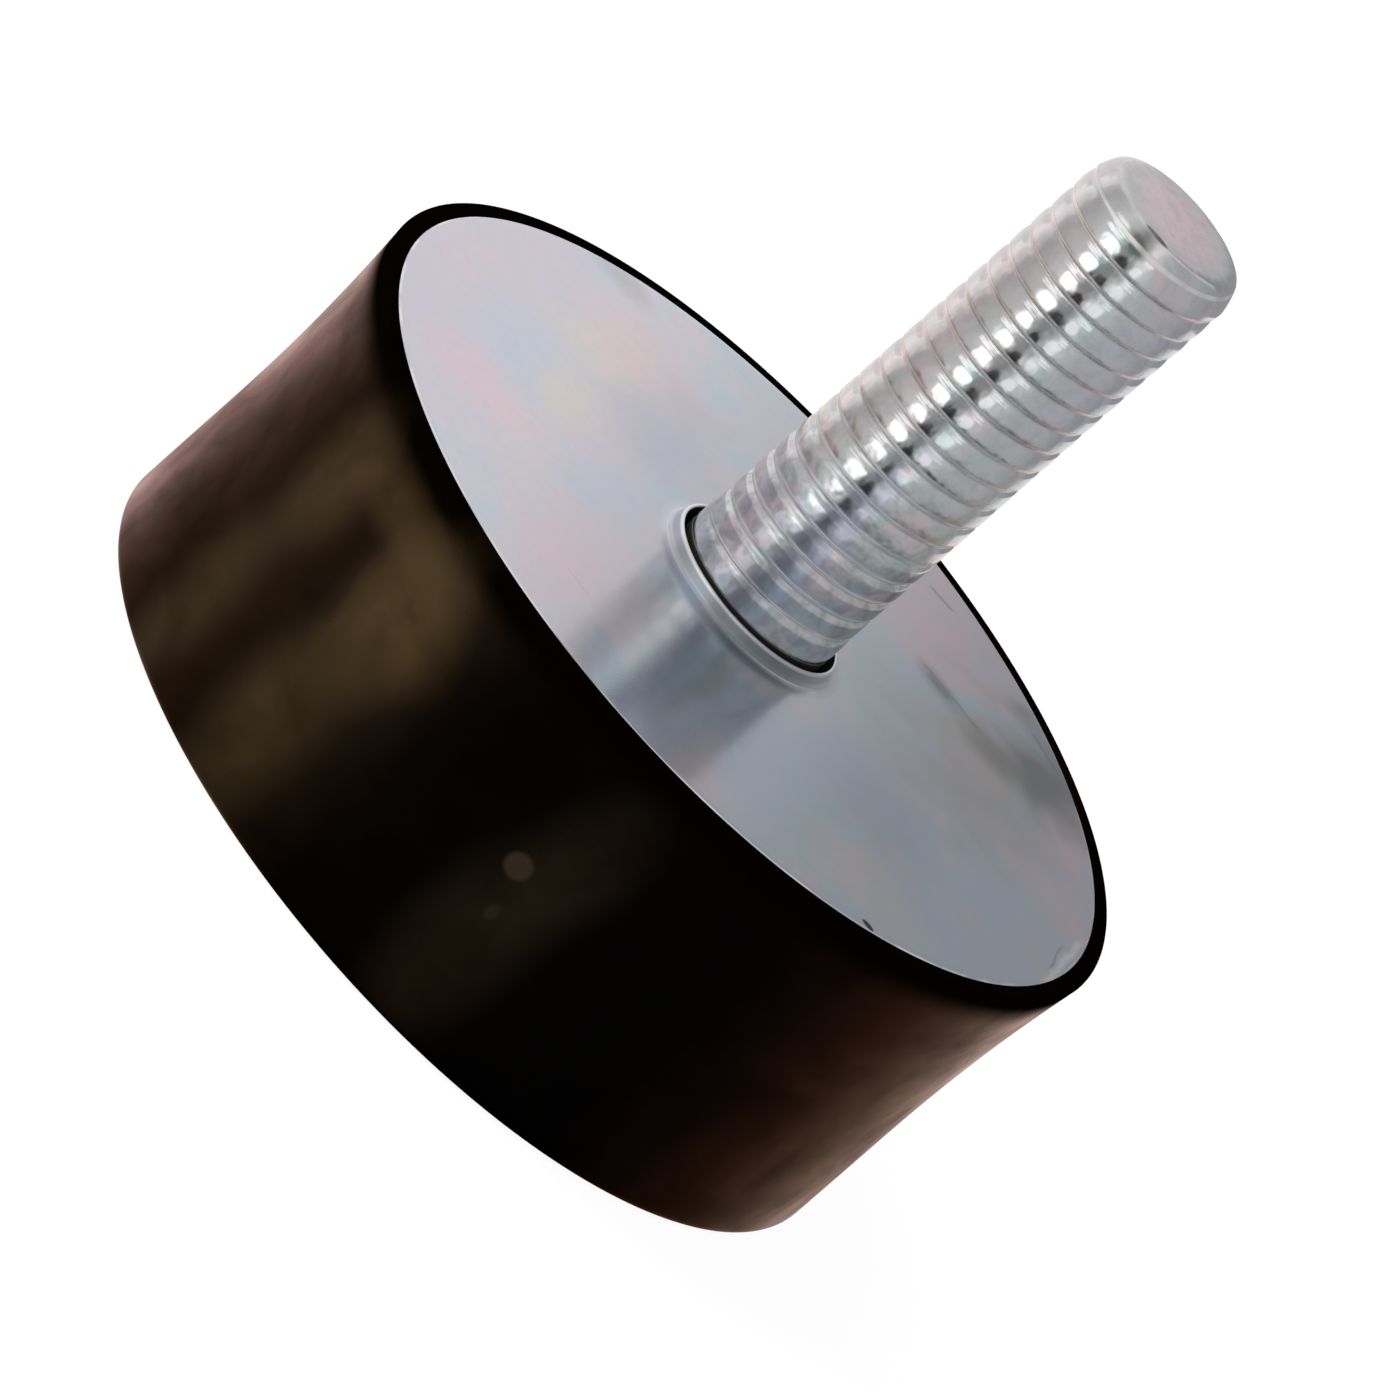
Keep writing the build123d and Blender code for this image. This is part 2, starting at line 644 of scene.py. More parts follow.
@dataclass(frozen=True)
class DiscFinish(ZincFinish):
    """Zinc of the disc: a little scratched, with painted shade on the front of the lip's flank and painted
    highlights on the lip's foot, on its crest and along the disc's edge.

    A strength that is a span has its first value left of the stud and its last right of it.
    """

    name: str = "zinc_disc"
    zinc: Triple = (0.575, 0.585, 0.65)
    rose: Triple = (0.65, 0.56, 0.62)
    blue: Triple = (0.50, 0.585, 0.67)
    roughness: float = 0.20
    tint_size: float = 6.0
    hairline_depth: float = 0.004
    wave_depth: float = 0.0
    waves_below: float = 0.0
    gap_black_below: float = 20.85
    gap_black_radius: float = 5.4
    crest_heights: Span = (20.78, 20.88)
    flank_radii: Span = (5.80, 5.70)
    foot_radii: Span = (6.25, 5.95)
    edge_radii: Span = (24.3, 24.45)
    front: Span = (-0.5, -4.5)
    right: Span = (-1.6, 1.2)
    flank_shade_strength: Span = (0.35, 0.95)
    flank_roughness: float = 0.15
    foot_highlight_strength: Span = (0.4, 0.6)
    foot_roughness: float = 0.2
    crest_highlight_strength: Span = (0.85, 0.40)
    edge_highlight_strength: float = 0.8
    edge_unevenness: Grain = Grain(2.6)
    edge_levels: Span = (0.40, 0.62)
    line_wander: Grain = Grain(1.6)
    line_stray: float = 0.5
    lip_painted_shade: Triple = (0.19, 0.21, 0.23)
    painted_highlight: Triple = (0.88, 0.88, 0.89)
    line_marks: tuple[LineMark, ...] = (
        LineMark((7.6, 12.9), (13.2, 12.4), 0.28, 0.55), LineMark((8.6, 12.4), (10.6, 12.2), 0.5, 0.6),
        LineMark((14.2, 18.2), (17.2, 16.8), 0.3, 0.6), LineMark((5.4, 21.0), (7.4, 21.2), 0.3, 0.6),
        LineMark((-7.5, -16.5), (-3.5, -17.4), 0.12, 0.15), LineMark((4.2, -10.5), (3.4, -14.5), 0.12, 0.25),
        LineMark((23.35, 1.2), (23.75, -3.0), 0.10, 0.7, (0.26, 0.26, 0.27)),
        # painted highlight along a crease by the disc's right edge
        LineMark((23.9, 4.2), (24.1, -5.5), 0.35, 0.8, (0.84, 0.85, 0.86)))
    stains_and_painted_light: tuple[Patch, ...] = (
        on_face(-15.0, 0.0, 11.0, 16.0, Tint.LAVENDER, 0.6, 1.0),
        on_face(-12.8, 10.0, 3.2, 5.0, Tint.SALMON, 0.7), on_face(-14.8, 6.9, 3.4, 4.0, Tint.SAND),
        on_face(-21.0, 3.0, 2.8, 5.0, Tint.SALMON, 0.4), on_face(-19.0, 11.4, 2.5, 4.0, Tint.LAVENDER),
        on_face(-8.9, 5.6, 3.0, 5.0, Tint.SLATE), on_face(-17.0, 0.0, 3.5, 4.5, Tint.SKY),
        on_face(-22.0, -4.8, 2.5, 4.0, Tint.LAVENDER), on_face(-13.3, -1.5, 1.8, 3.0, Tint.SAND, 0.7),
        on_face(-10.7, -0.9, 1.6, 3.0, Tint.SALMON, 0.4), on_face(-9.1, -2.8, 1.9, 3.0, Tint.SKY),
        on_face(-17.0, -8.7, 3.2, 2.8, Tint.PINK, 0.7), on_face(-12.5, -10.7, 2.5, 3.5, Tint.SAND, 0.3),
        on_face(-15.5, -14.0, 3.0, 3.0, Tint.LAVENDER), on_face(-7.6, -16.5, 3.0, 5.5, Tint.PINK, 0.7),
        on_face(-17.0, 17.0, 1.8, 1.2, Tint.GREY, 0.5), on_face(7.0, 19.0, 3.4, 4.5, Tint.PINK, 0.7),
        on_face(7.0, 6.0, 3.2, 4.0, Tint.TEAL, 0.5), on_face(12.5, -7.0, 4.5, 5.5, Tint.SLATE, 0.7),
        on_face(20.5, -5.0, 4.5, 9.0, Tint.SKY, 0.8), on_face(14.0, -13.4, 2.8, 3.0, Tint.SAND, 0.3),
        on_face(9.8, -15.0, 1.8, 5.0, Tint.TEAL, 0.5), on_face(6.0, -13.0, 2.8, 9.0, Tint.SKY, 0.8),
        # painted reflection: the grey patch at (15, 9) and the dark patch at (16.8, 15) darken the disc's far
        # right
        on_face(15.0, 9.0, 4.5, 6.5, Tint.GREY, 0.55), on_face(14.0, 10.0, 2.2, 2.5, Tint.SAND, 0.3),
        on_face(16.8, 15.0, 4.6, 3.6, Tint.DARK, 0.8, 1.6),
        on_face(9.6, 12.5, 1.5, 1.0, Tint.DARK, 0.55, 1.4),
        # painted reflection of the stud in front of it: a dark slate and sea core, with a paler strip on its
        # left
        on_face(1.9, -15.0, 2.1, 12.0, Tint.SLATE, 0.9, 1.0),
        on_face(1.1, -12.0, 1.2, 10.0, Tint.SEA, 0.8, 1.0),
        on_face(-1.9, -12.0, 1.6, 10.0, Tint.PALE, 0.35, 1.2),
        Patch((16.0, -18.0, FACE_Z), (0.38, 0.25, 0.6), 1.0, (0.006, 0.004, 0.003), 0.3))

    def wear_and_painted_light(self, graph: Graph, place: Socket, film: Socket, roughness: Value) -> tuple[Socket, Value]:
        """Lay on the painted shade of the lip's flank, the painted highlights of its foot, its crest and the
        disc's edge, and the scratches with one painted highlight line.

        Args:
            graph: The material's graph.
            place: The point on the piece in millimetres.
            film: The plating's colour.
            roughness: Its roughness.

        Returns:
            The colour and roughness with the wear.
        """
        x, y, z = graph.parts(place)
        radius = x.hypotenuse(y)
        front, right = y.step(*self.front), x.step(*self.right)
        flank = radius.step(*self.flank_radii)
        foot = radius.step(*self.foot_radii) * (1.0 - flank) * front
        crest = z.step(*self.crest_heights)
        edge = radius.step(*self.edge_radii)
        uneven = graph.noise(place, self.edge_unevenness).step(*self.edge_levels)
        # painted shade on the front of the lip's flank, stronger right of the stud
        film = graph.mix(flank * front * right.between(*self.flank_shade_strength), film, self.lip_painted_shade)
        # painted highlight on the front of the lip's foot
        film = graph.mix(foot * right.between(*self.foot_highlight_strength), film, self.painted_highlight)
        # painted highlights along the lip's crest, stronger left of the stud, and along the disc's edge
        rubbed_highlight = (crest * right.between(*self.crest_highlight_strength)).most(edge * uneven * self.edge_highlight_strength)
        film = graph.mix(rubbed_highlight, film, self.painted_highlight)
        wander = (graph.noise(place, self.line_wander) - 0.5) * self.line_stray
        for line_mark in self.line_marks:
            film = graph.mix(line_mark.mask(x, y, wander), film, line_mark.colour)
        return film, roughness + flank * self.flank_roughness + foot * self.foot_roughness


@dataclass(frozen=True)
class BoltFinish(ZincFinish):
    """Zinc of the bolt: rubbed bright along the thread's lower edge, which is partly a painted highlight, and
    duller towards the disc.

    A crest passes crest_z where the thread crosses the X axis, and rises by one pitch a turn.
    """

    name: str = "zinc_bolt"
    zinc: Triple = (0.61, 0.62, 0.62)
    rose: Triple = (0.68, 0.60, 0.62)
    blue: Triple = (0.53, 0.61, 0.60)
    roughness: float = 0.13
    tint_size: float = 2.6
    hairline_depth: float = 0.006
    wave_depth: float = 0.06
    waves_below: float = 50.3
    gap_black_below: float = 21.02
    gap_black_radius: float = 6.0
    pitch: float = 1.5
    crest_z: float = 20.5
    thread_heights: Span = (22.2, 22.7)
    point_heights: Span = (50.35, 50.0)
    edge_below_crest: float = 0.50
    rubbed_highlight_band: Span = (0.15, 0.075)
    rubbed_highlight: Triple = (0.93, 0.93, 0.93)
    rubbed_highlight_strength: Span = (0.4, 1.0)
    rubbed_highlight_patches: Grain = Grain(2.2, 1.0)
    patch_levels: Span = (0.34, 0.58)
    rough_band: Span = (0.24, 0.10)
    rough_edge: float = 0.3
    dull_heights: Span = (37.0, 22.2)
    dull_strength: Span = (0.26, 0.76)
    dull_roughness: float = 0.09
    dull: Triple = (0.36, 0.38, 0.40)
    blotches: Grain = Grain(0.9, 4.0, 0.62, 0.6)
    blotch_levels: Span = (0.40, 0.68)
    stains_and_painted_light: tuple[Patch, ...] = (
        Patch((-3.3, -3.6, 41.0), (1.5, 1.5, 11.0), 0.55, (0.40, 0.37, 0.37), 1.2),
        # painted reflection: the dark streak down the front of the stud, low down
        Patch((0.2, -4.9, 25.0), (1.0, 1.0, 7.5), 0.8, (0.34, 0.33, 0.45), 1.3),
        Patch((0.75, -4.85, 23.2), (0.9, 0.9, 3.2), 0.75, (0.33, 0.36, 0.40), 1.2),
        Patch((4.0, -2.8, 45.0), (1.8, 2.2, 6.0), 0.5, (0.60, 0.58, 0.70), 1.6),
        Patch((-5.2, 0.5, 40.0), (2.6, 4.5, 13.0), 0.6, (0.72, 0.60, 0.62), 1.2),
        Patch((3.2, -4.0, 42.0), (2.4, 2.2, 10.0), 0.4, (0.57, 0.61, 0.66), 1.3),
        Patch((0.0, 0.0, 51.6), (4.6, 4.6, 1.6), 1.0, (0.78, 0.64, 0.69), 0.4),
        Patch((-0.2, -3.75, 50.4), (0.75, 0.27, 0.5), 0.9, (0.10, 0.06, 0.04), 0.5),
        # painted reflection: the dark streak on the front of the point
        Patch((-0.5, -4.6, 49.6), (0.8, 0.8, 0.5), 0.7, (0.16, 0.22, 0.12), 0.8))

    def wear_and_painted_light(self, graph: Graph, place: Socket, film: Socket, roughness: Value) -> tuple[Socket, Value]:
        """Lay the dull lower stretch, its blotches and the thread's rubbed edge, partly a painted highlight,
        over the plating.

        Args:
            graph: The material's graph.
            place: The point on the piece in millimetres.
            film: The plating's colour.
            roughness: Its roughness.

        Returns:
            The colour and roughness with the wear.
        """
        x, y, z = graph.parts(place)
        turn = y.math("ARCTAN2", y, x) / (2 * math.pi)
        blotch = graph.noise(place, self.blotches).step(*self.blotch_levels)
        low = z.step(*self.dull_heights)
        film = graph.mix(low.between(*self.dull_strength) * blotch, film, self.dull)
        phase = (z - self.crest_z + self.edge_below_crest) / self.pitch - turn
        from_edge = abs((phase + 0.5).fraction() - 0.5) * self.pitch
        threaded = z.step(*self.thread_heights)
        patchy = graph.noise(place, self.rubbed_highlight_patches).step(*self.patch_levels)
        patchy = patchy.between(*self.rubbed_highlight_strength)
        # the thread's lower edge is worn bright, and this is partly a painted highlight along the crests
        rubbed_highlight = from_edge.step(*self.rubbed_highlight_band) * threaded * patchy * z.step(*self.point_heights)
        film = graph.mix(rubbed_highlight, film, self.rubbed_highlight)
        rough = from_edge.step(*self.rough_band) * threaded
        return film, roughness + low * self.dull_roughness + rough * self.rough_edge


def in_scene(name: str, data: bpy.types.ID) -> bpy.types.Object:
    """Make an object and link it into the scene.

    Args:
        name: The object's name.
        data: Its mesh, lamp or camera.

    Returns:
        The object, at the origin of the frame.
    """
    item = bpy.data.objects.new(name, data)
    bpy.context.scene.collection.objects.link(item)
    return item


def sheet(name: str, width: float, height: float) -> bpy.types.Object:
    """Make a flat sheet that faces up, with its middle at the origin.

    Args:
        name: The sheet's name.
        width: Its size along X in metres.
        height: Its size along Y.

    Returns:
        The sheet.
    """
    x, y = width / 2, height / 2
    mesh = bpy.data.meshes.new(name)
    mesh.from_pydata([(-x, -y, 0), (x, -y, 0), (x, y, 0), (-x, y, 0)], [], [(0, 1, 2, 3)])
    return in_scene(name, mesh)


def eased_corner(before: Point, corner: Point, after: Point, radius: float, steps: int) -> list[Point]:
    """Points of the arc that rounds one corner of an outline.

    Args:
        before: The outline's point before the corner.
        corner: The corner.
        after: The point after it.
        radius: The arc's radius.
        steps: How many straight steps the arc has.

    Returns:
        The arc's points, or the corner itself if the outline is straight there.
    """
    here = Vector(corner)
    to_before, to_after = (Vector(before) - here).normalized(), (Vector(after) - here).normalized()
    half = to_before.angle(to_after) / 2
    if radius <= 0 or abs(half - math.pi / 2) < 1e-4:
        return [corner]
    centre = here + (to_before + to_after).normalized() * radius / math.sin(half)
    start = here + to_before * radius / math.tan(half) - centre
    end = here + to_after * radius / math.tan(half) - centre
    sweep = start.angle_signed(end)
    points = []
    for step in range(steps + 1):
        turn = -sweep * step / steps
        arm = Vector((start.x * math.cos(turn) - start.y * math.sin(turn),
                      start.x * math.sin(turn) + start.y * math.cos(turn)))
        points.append(tuple(centre + arm))
    return points


def outline(corners: Sequence[Triple], closed: bool = False, steps: int = 6) -> list[Point]:
    """An outline with rounded corners.

    Args:
        corners: Radius, height and rounding of each corner, in millimetres.
        closed: Whether the last corner joins the first.
        steps: How many straight steps each rounding has.

    Returns:
        Radius and height of each of its points.
    """
    count = len(corners)
    points: list[Point] = []
    for index, (r, z, rounding) in enumerate(corners):
        if not closed and index in (0, count - 1):
            points.append((r, z))
            continue
        before, after = corners[index - 1][:2], corners[(index + 1) % count][:2]
        points += eased_corner(before, (r, z), after, rounding, steps)
    return points


def spread(points: Sequence[Point], longest: float, closed: bool = False) -> np.ndarray:
    """An outline with points added so that no step is longer than a length.

    Args:
        points: Radius and height of each point.
        longest: The longest step, in millimetres.
        closed: Whether the last point joins the first.

    Returns:
        An array of radius and height, one row for each point.
    """
    ring = list(points) + [points[0]] if closed else list(points)
    rows: list[Sequence[float]] = []
    for start, end in zip(ring, ring[1:]):
        steps = max(1, math.ceil(math.dist(start, end) / longest))
        rows += [(start[0] + (end[0] - start[0]) * s / steps, start[1] + (end[1] - start[1]) * s / steps)
                 for s in range(steps)]
    if not closed:
        rows.append(ring[-1])
    return np.array(rows)


class Skin:
    """A mesh of vertex rings round the stud's axis, each ring joined to the next by a band of faces."""

    def __init__(self, around: int) -> None:
        """Start an empty skin.

        Args:
            around: How many vertices a ring has.
        """
        self.around = around
        self.vertices: list[np.ndarray] = []
        self.faces: list[tuple[int, ...]] = []
        self.count = 0
        self.angles = 2 * math.pi * np.arange(around) / around

    def add(self, points: np.ndarray) -> int:
        """Add vertices.

        Args:
            points: Their places in millimetres, one row each.

        Returns:
            The number of the first of them.
        """
        first = self.count
        self.vertices.append(points)
        self.count += len(points)
        return first

    def ring(self, radius: np.ndarray | float, height: np.ndarray | float) -> int:
        """Add one ring of vertices.

        Args:
            radius: Distance from the axis, one for all or one for each vertex.
            height: Height along the axis, likewise.

        Returns:
            The number of its first vertex.
        """
        radii, heights = radius * np.ones(self.around), height * np.ones(self.around)
        return self.add(np.column_stack((radii * np.cos(self.angles), radii * np.sin(self.angles), heights)))

    def band(self, lower: int, upper: int) -> None:
        """Join two rings, with the outside on the right of the way from lower to upper.

        Args:
            lower: The first vertex of one ring.
            upper: The first vertex of the next.
        """
        for j in range(self.around):
            k = (j + 1) % self.around
            self.faces.append((lower + j, lower + k, upper + k, upper + j))

    def fan(self, ring: int, height: float, outward_up: bool) -> None:
        """Close a ring with triangles to a point on the axis.

        Args:
            ring: The ring's first vertex.
            height: Height of the point.
            outward_up: Whether the outside is above.
        """
        tip = self.add(np.array([[0.0, 0.0, height]]))
        for j in range(self.around):
            k = (j + 1) % self.around
            self.faces.append((ring + j, ring + k, tip) if outward_up else (ring + k, ring + j, tip))

    def piece(self, name: str, sharp_angle: float) -> bpy.types.Object:
        """Turn the skin into a piece of the object.

        Args:
            name: The piece's name.
            sharp_angle: Edges that turn by more degrees than this stay crisp.

        Returns:
            The piece, smooth shaded, at the origin of the frame.
        """
        mesh = bpy.data.meshes.new(name)
        mesh.from_pydata(np.vstack(self.vertices) * MM, [], self.faces)
        mesh.validate()
        mesh.shade_smooth()
        mesh.set_sharp_from_angle(angle=math.radians(sharp_angle))
        return in_scene(name, mesh)


class SubAssembly:
    """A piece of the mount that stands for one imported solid."""

    node: str
    slot: str
    name: str
    finish: RubberFinish | ZincFinish

    def build(self) -> bpy.types.Object:
        """Make the piece's mesh."""
        raise NotImplementedError

    def dress(self, piece: bpy.types.Object) -> None:
        """Give the piece its finish."""
        piece.data.materials.append(self.finish.material())

    def place(self) -> bpy.types.Object:
        """Make, dress and seat the piece.

        Returns:
            The piece, which rides on the mount's body and stands for its solid.
        """
        piece = self.build()
        self.dress(piece)
        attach(piece, ROOT_BODY)
        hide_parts(self.node)
        LOG.info("%s stands for %s: %d faces", piece.name, self.node, len(piece.data.polygons))
        return piece


@dataclass
class BoltHead:
    """The hexagon head that hangs under the disc, and the hollow in the rubber that it fills."""

    back_z: float = 18.2
    height: float = 6.4
    across_flats: float = 17.0
    washer_radius: float = 7.8
    washer_height: float = 0.4
    chamfer_degrees: float = 30.0

    def rings(self, angles: np.ndarray) -> list[tuple[np.ndarray, np.ndarray]]:
        """Radius and height of the rings from the washer face down to the end of the head.

        Args:
            angles: Angle of each vertex of a ring, from the X axis that runs through two corners.

        Returns:
            One pair of arrays for each ring.
        """
        sixth = math.pi / 3
        hexagon = self.across_flats / 2 / np.cos((angles % sixth) - sixth / 2)
        ones = np.ones_like(angles)
        end_z, top_z = self.back_z - self.height, self.back_z - self.washer_height
        cone_z = end_z + (hexagon - self.washer_radius) * math.tan(math.radians(self.chamfer_degrees))
        round_edge = self.washer_radius * ones
        return [(round_edge, self.back_z * ones), (round_edge, top_z * ones), (hexagon, top_z * ones),
                (hexagon, cone_z), (round_edge, end_z * ones)]


@dataclass
class RubberBody(SubAssembly):
    """The moulded body: a straight wall that flares to the rim beside the disc."""

    node: str = "rubber_body"
    slot: str = "black_rubber"
    name: str = "rubber_body_moulded"
    body_radius: float = 24.7
    rim_radius: float = 25.49
    height: float = FACE_Z
    flare_start_z: float = 7.2
    foot_rounding: float = 0.55
    rim_rounding: float = 0.3
    pocket_radius: float = 24.54
    pocket_depth: float = 2.0
    pocket_rounding: float = 0.06
    around: int = 480
    longest_step: float = 0.45
    crisp_angle: float = 40.0
    head: BoltHead = field(default_factory=BoltHead)
    finish: RubberFinish = field(default_factory=RubberFinish)

    def flare(self, steps: int = 14) -> list[Triple]:
        """Corners along the flare, a parabola that leaves the wall smoothly and ends under the rounded rim.

        Args:
            steps: How many straight steps it has.

        Returns:
            Radius, height and no rounding for each corner.
        """
        rise = self.height - self.rim_rounding - self.flare_start_z
        run = self.rim_radius - self.body_radius
        return [(self.body_radius + run * (s / steps) ** 2, self.flare_start_z + rise * s / steps, 0.0)
                for s in range(1, steps + 1)]

    def build(self) -> bpy.types.Object:
        """Make the body's mesh: foot, wall, flare, rim, and the pocket that the metal fills.

        Returns:
            The body, before its finish.
        """
        pocket_z = self.height - self.pocket_depth
        # the rim's arc ends a little above the last corner of the flare
        rim_rounding = self.rim_rounding * 0.98
        corners = [(0.0, 0.0, 0.0), (self.body_radius, 0.0, self.foot_rounding),
                   (self.body_radius, self.flare_start_z, 0.0), *self.flare(),
                   (self.rim_radius, self.height, rim_rounding),
                   (self.pocket_radius, self.height, self.pocket_rounding),
                   (self.pocket_radius, pocket_z, 0.0), (self.head.washer_radius, pocket_z, 0.0)]
        rows = spread(outline(corners), self.longest_step)
        skin = Skin(self.around)
        rings = [skin.ring(r, z) for r, z in rows[1:]]
        for lower, upper in zip(rings, rings[1:]):
            skin.band(lower, upper)
        skin.fan(rings[0], 0.0, outward_up=False)
        pocket = [rings[-1]] + [skin.ring(r, z) for r, z in self.head.rings(skin.angles)[1:]]
        for lower, upper in zip(pocket, pocket[1:]):
            skin.band(lower, upper)
        skin.fan(pocket[-1], self.head.back_z - self.head.height, outward_up=True)
        return skin.piece(self.name, self.crisp_angle)


@dataclass
class TopPlate(SubAssembly):
    """The disc with a rounded edge and a low lip drawn up round its hole."""

    node: str = "top_plate"
    slot: str = "zinc_disc"
    name: str = "top_plate_disc"
    radius: float = 24.54
    thickness: float = 2.0
    face_z: float = FACE_Z
    edge_rounding: float = 0.15
    back_rounding: float = 0.1
    hole_radius: float = 5.3
    hole_rounding: float = 0.06
    lip_height: float = 0.78
    lip_crest: float = 0.2
    lip_draft: float = 0.12
    lip_fillet: float = 0.30
    lip_rounding: float = 0.1
    around: int = 480
    longest_step: float = 0.6
    crisp_angle: float = 40.0
    finish: ZincFinish = field(default_factory=DiscFinish)

    def build(self) -> bpy.types.Object:
        """Make the disc's mesh, a closed outline turned round the stud's axis.

        Returns:
            The disc, before its finish.
        """
        back_z = self.face_z - self.thickness
        crest_r, crest_z = self.hole_radius + self.lip_crest, self.face_z + self.lip_height
        corners = [(self.radius, back_z, self.back_rounding), (self.radius, self.face_z, self.edge_rounding),
                   (crest_r + self.lip_draft, self.face_z, self.lip_fillet),
                   (crest_r, crest_z, self.lip_rounding), (self.hole_radius, crest_z, self.hole_rounding),
                   (self.hole_radius, back_z, 0.0)]
        rows = spread(outline(corners, closed=True), self.longest_step, closed=True)
        skin = Skin(self.around)
        rings = [skin.ring(r, z) for r, z in rows]
        for lower, upper in zip(rings, rings[1:] + rings[:1]):
            skin.band(lower, upper)
        return skin.piece(self.name, self.crisp_angle)


@dataclass
class StudBolt(SubAssembly):
    """The bolt: hexagon head, plain shank, rolled right-hand thread and crowned point.

    A turn's rows are counted from the middle of the crest up over the groove: crest, upper flank, root, lower
    flank, crest. The crests' crown grows from its least share, which starts to rise at crown_from above the
    disc, to the whole over crown_rise.
    """

    node: str = "stud_bolt"
    slot: str = "zinc_bolt"
    name: str = "stud_bolt_threaded"
    shank_radius: float = 4.9
    crest_radius: float = 4.85
    pitch: float = 1.5
    depth: float = 0.15
    crest_width: float = 0.95
    crest_crown: float = 0.032
    least_crown: float = 0.25
    crown_from: float = 7.0
    crown_rise: float = 12.0
    upper_flank: float = 0.35
    lower_flank: float = 0.10
    crest_lift: float = 0.30
    row_counts: tuple[int, ...] = (5, 8, 2, 5, 5)
    thread_start: float = 1.5
    runout_start: float = 0.2
    runout: float = 1.1
    face_z: float = FACE_Z
    length: float = 30.2
    point_radius: float = 4.3
    point_length: float = 1.5
    point_crown: float = 0.06
    tip_rounding: float = 0.40
    end_rings: tuple[float, ...] = (3.44, 2.15, 1.0)
    around: int = 160
    longest_step: float = 0.5
    crisp_angle: float = 50.0
    head: BoltHead = field(default_factory=BoltHead)
    finish: ZincFinish = field(default_factory=BoltFinish)

    def cut(self, turns: np.ndarray, crown: np.ndarray) -> np.ndarray:
        """Depth of the thread's surface below the middle of the crest.

        The crest is wide and lightly crowned. Above it the thread falls gently to the root, and below it
        steeply.

        Args:
            turns: Place along the thread in turns, with the middle of a crest at every whole number.
            crown: How far the crest's edges lie below its middle there.

        Returns:
            The depth, from 0 in the middle of the crest to the full depth at the root.
        """
        from_crest = ((turns + 0.5) % 1.0 - 0.5) * self.pitch
        half = self.crest_width / 2
        out = np.abs(from_crest)
        flank = np.where(from_crest > 0, self.upper_flank, self.lower_flank)
        share = np.clip((out - half) / flank, 0.0, 1.0)
        eased = crown * (1 + 2 * share + 2 * flank / half * share) * (1 - share) ** 2
        sunk = self.depth * share * share * (3 - 2 * share)
        return np.where(out < half, crown * (out / half) ** 2, eased + sunk)

    def turn_rows(self) -> np.ndarray:
        """Places of one turn's rows along the thread, in turns from the middle of the crest.

        Returns:
            The places, which lie close together on the flanks.
        """
        half = self.crest_width / 2
        stops = (0.0, half, half + self.upper_flank, self.pitch - half - self.lower_flank, self.pitch - half,
                 self.pitch)
        parts = [np.linspace(start, end, count, endpoint=False)
                 for start, end, count in zip(stops, stops[1:], self.row_counts)]
        return np.concatenate(parts) / self.pitch

    def envelope(self, z: np.ndarray) -> np.ndarray:
        """Largest radius at a height, which is the crowned point over the last turn, with its rim rounded.

        Args:
            z: The heights.

        Returns:
            The radius at each of them.
        """
        tip_z = self.face_z + self.length
        share = np.clip((z - (tip_z - self.point_length)) / self.point_length, 0.0, 1.0)
        straight = self.crest_radius + (self.point_radius - self.crest_radius) * share
        over = np.clip((z - tip_z) / self.tip_rounding + 1, 0.0, 1.0)
        rounded = self.tip_rounding * (1 - np.sqrt(1 - over * over))
        return straight + 4 * self.point_crown * share * (1 - share) - rounded

    def build(self) -> bpy.types.Object:
        """Make the bolt's mesh, whose threaded stretch is one grid sheared along the thread.

        Returns:
            The bolt, before its finish.
        """
        skin = Skin(self.around)
        start_z, tip_z = self.face_z + self.thread_start, self.face_z + self.length
        head_rings = [skin.ring(r, z) for r, z in reversed(self.head.rings(skin.angles))]
        skin.fan(head_rings[0], self.head.back_z - self.head.height, outward_up=False)
        plain = [(self.shank_radius, self.head.back_z), (self.shank_radius, self.face_z),
                 (self.shank_radius, start_z)]
        shank = [skin.ring(r, z) for r, z in spread(plain, self.longest_step)]
        for lower, upper in zip(head_rings + shank, (head_rings + shank)[1:]):
            skin.band(lower, upper)

        # the grid starts two turns low and ends above the tip, and what lies outside is held at the ends
        turns = math.ceil((tip_z - start_z) / self.pitch) + 3
        turn_rows = self.turn_rows()
        rows = (np.arange(turns)[:, None] + turn_rows[None, :]).ravel()
        base_z = start_z - 2 * self.pitch + self.crest_lift
        lift = skin.angles / (2 * math.pi) * self.pitch
        z = base_z + rows[:, None] * self.pitch + lift[None, :]
        along = rows[:, None] + np.zeros_like(lift)[None, :]
        above = np.clip((z - start_z - self.runout_start) / self.runout, 0, 1)
        fade = above * above * (3 - 2 * above)
        held = np.clip(z, start_z, tip_z)
        outer = self.shank_radius + (self.crest_radius - self.shank_radius) * fade
        crowned = (z - self.face_z - self.crown_from) / self.crown_rise
        crown = self.crest_crown * np.clip(crowned, self.least_crown, 1.0)
        threaded = outer - self.cut(along, crown) * fade
        on_point = held > tip_z - self.point_length
        radius = np.where(on_point, np.minimum(threaded, self.envelope(held)), threaded)
        at_tip = np.argmax(z >= tip_z, axis=0)
        top = skin.ring(radius[at_tip, np.arange(self.around)], tip_z)
        grid = np.stack((radius * np.cos(skin.angles), radius * np.sin(skin.angles), held), 2)
        first = skin.add(grid.reshape(-1, 3))
        columns = np.arange(self.around)[None, :]
        numbers = first + np.arange(len(rows))[:, None] * self.around + columns
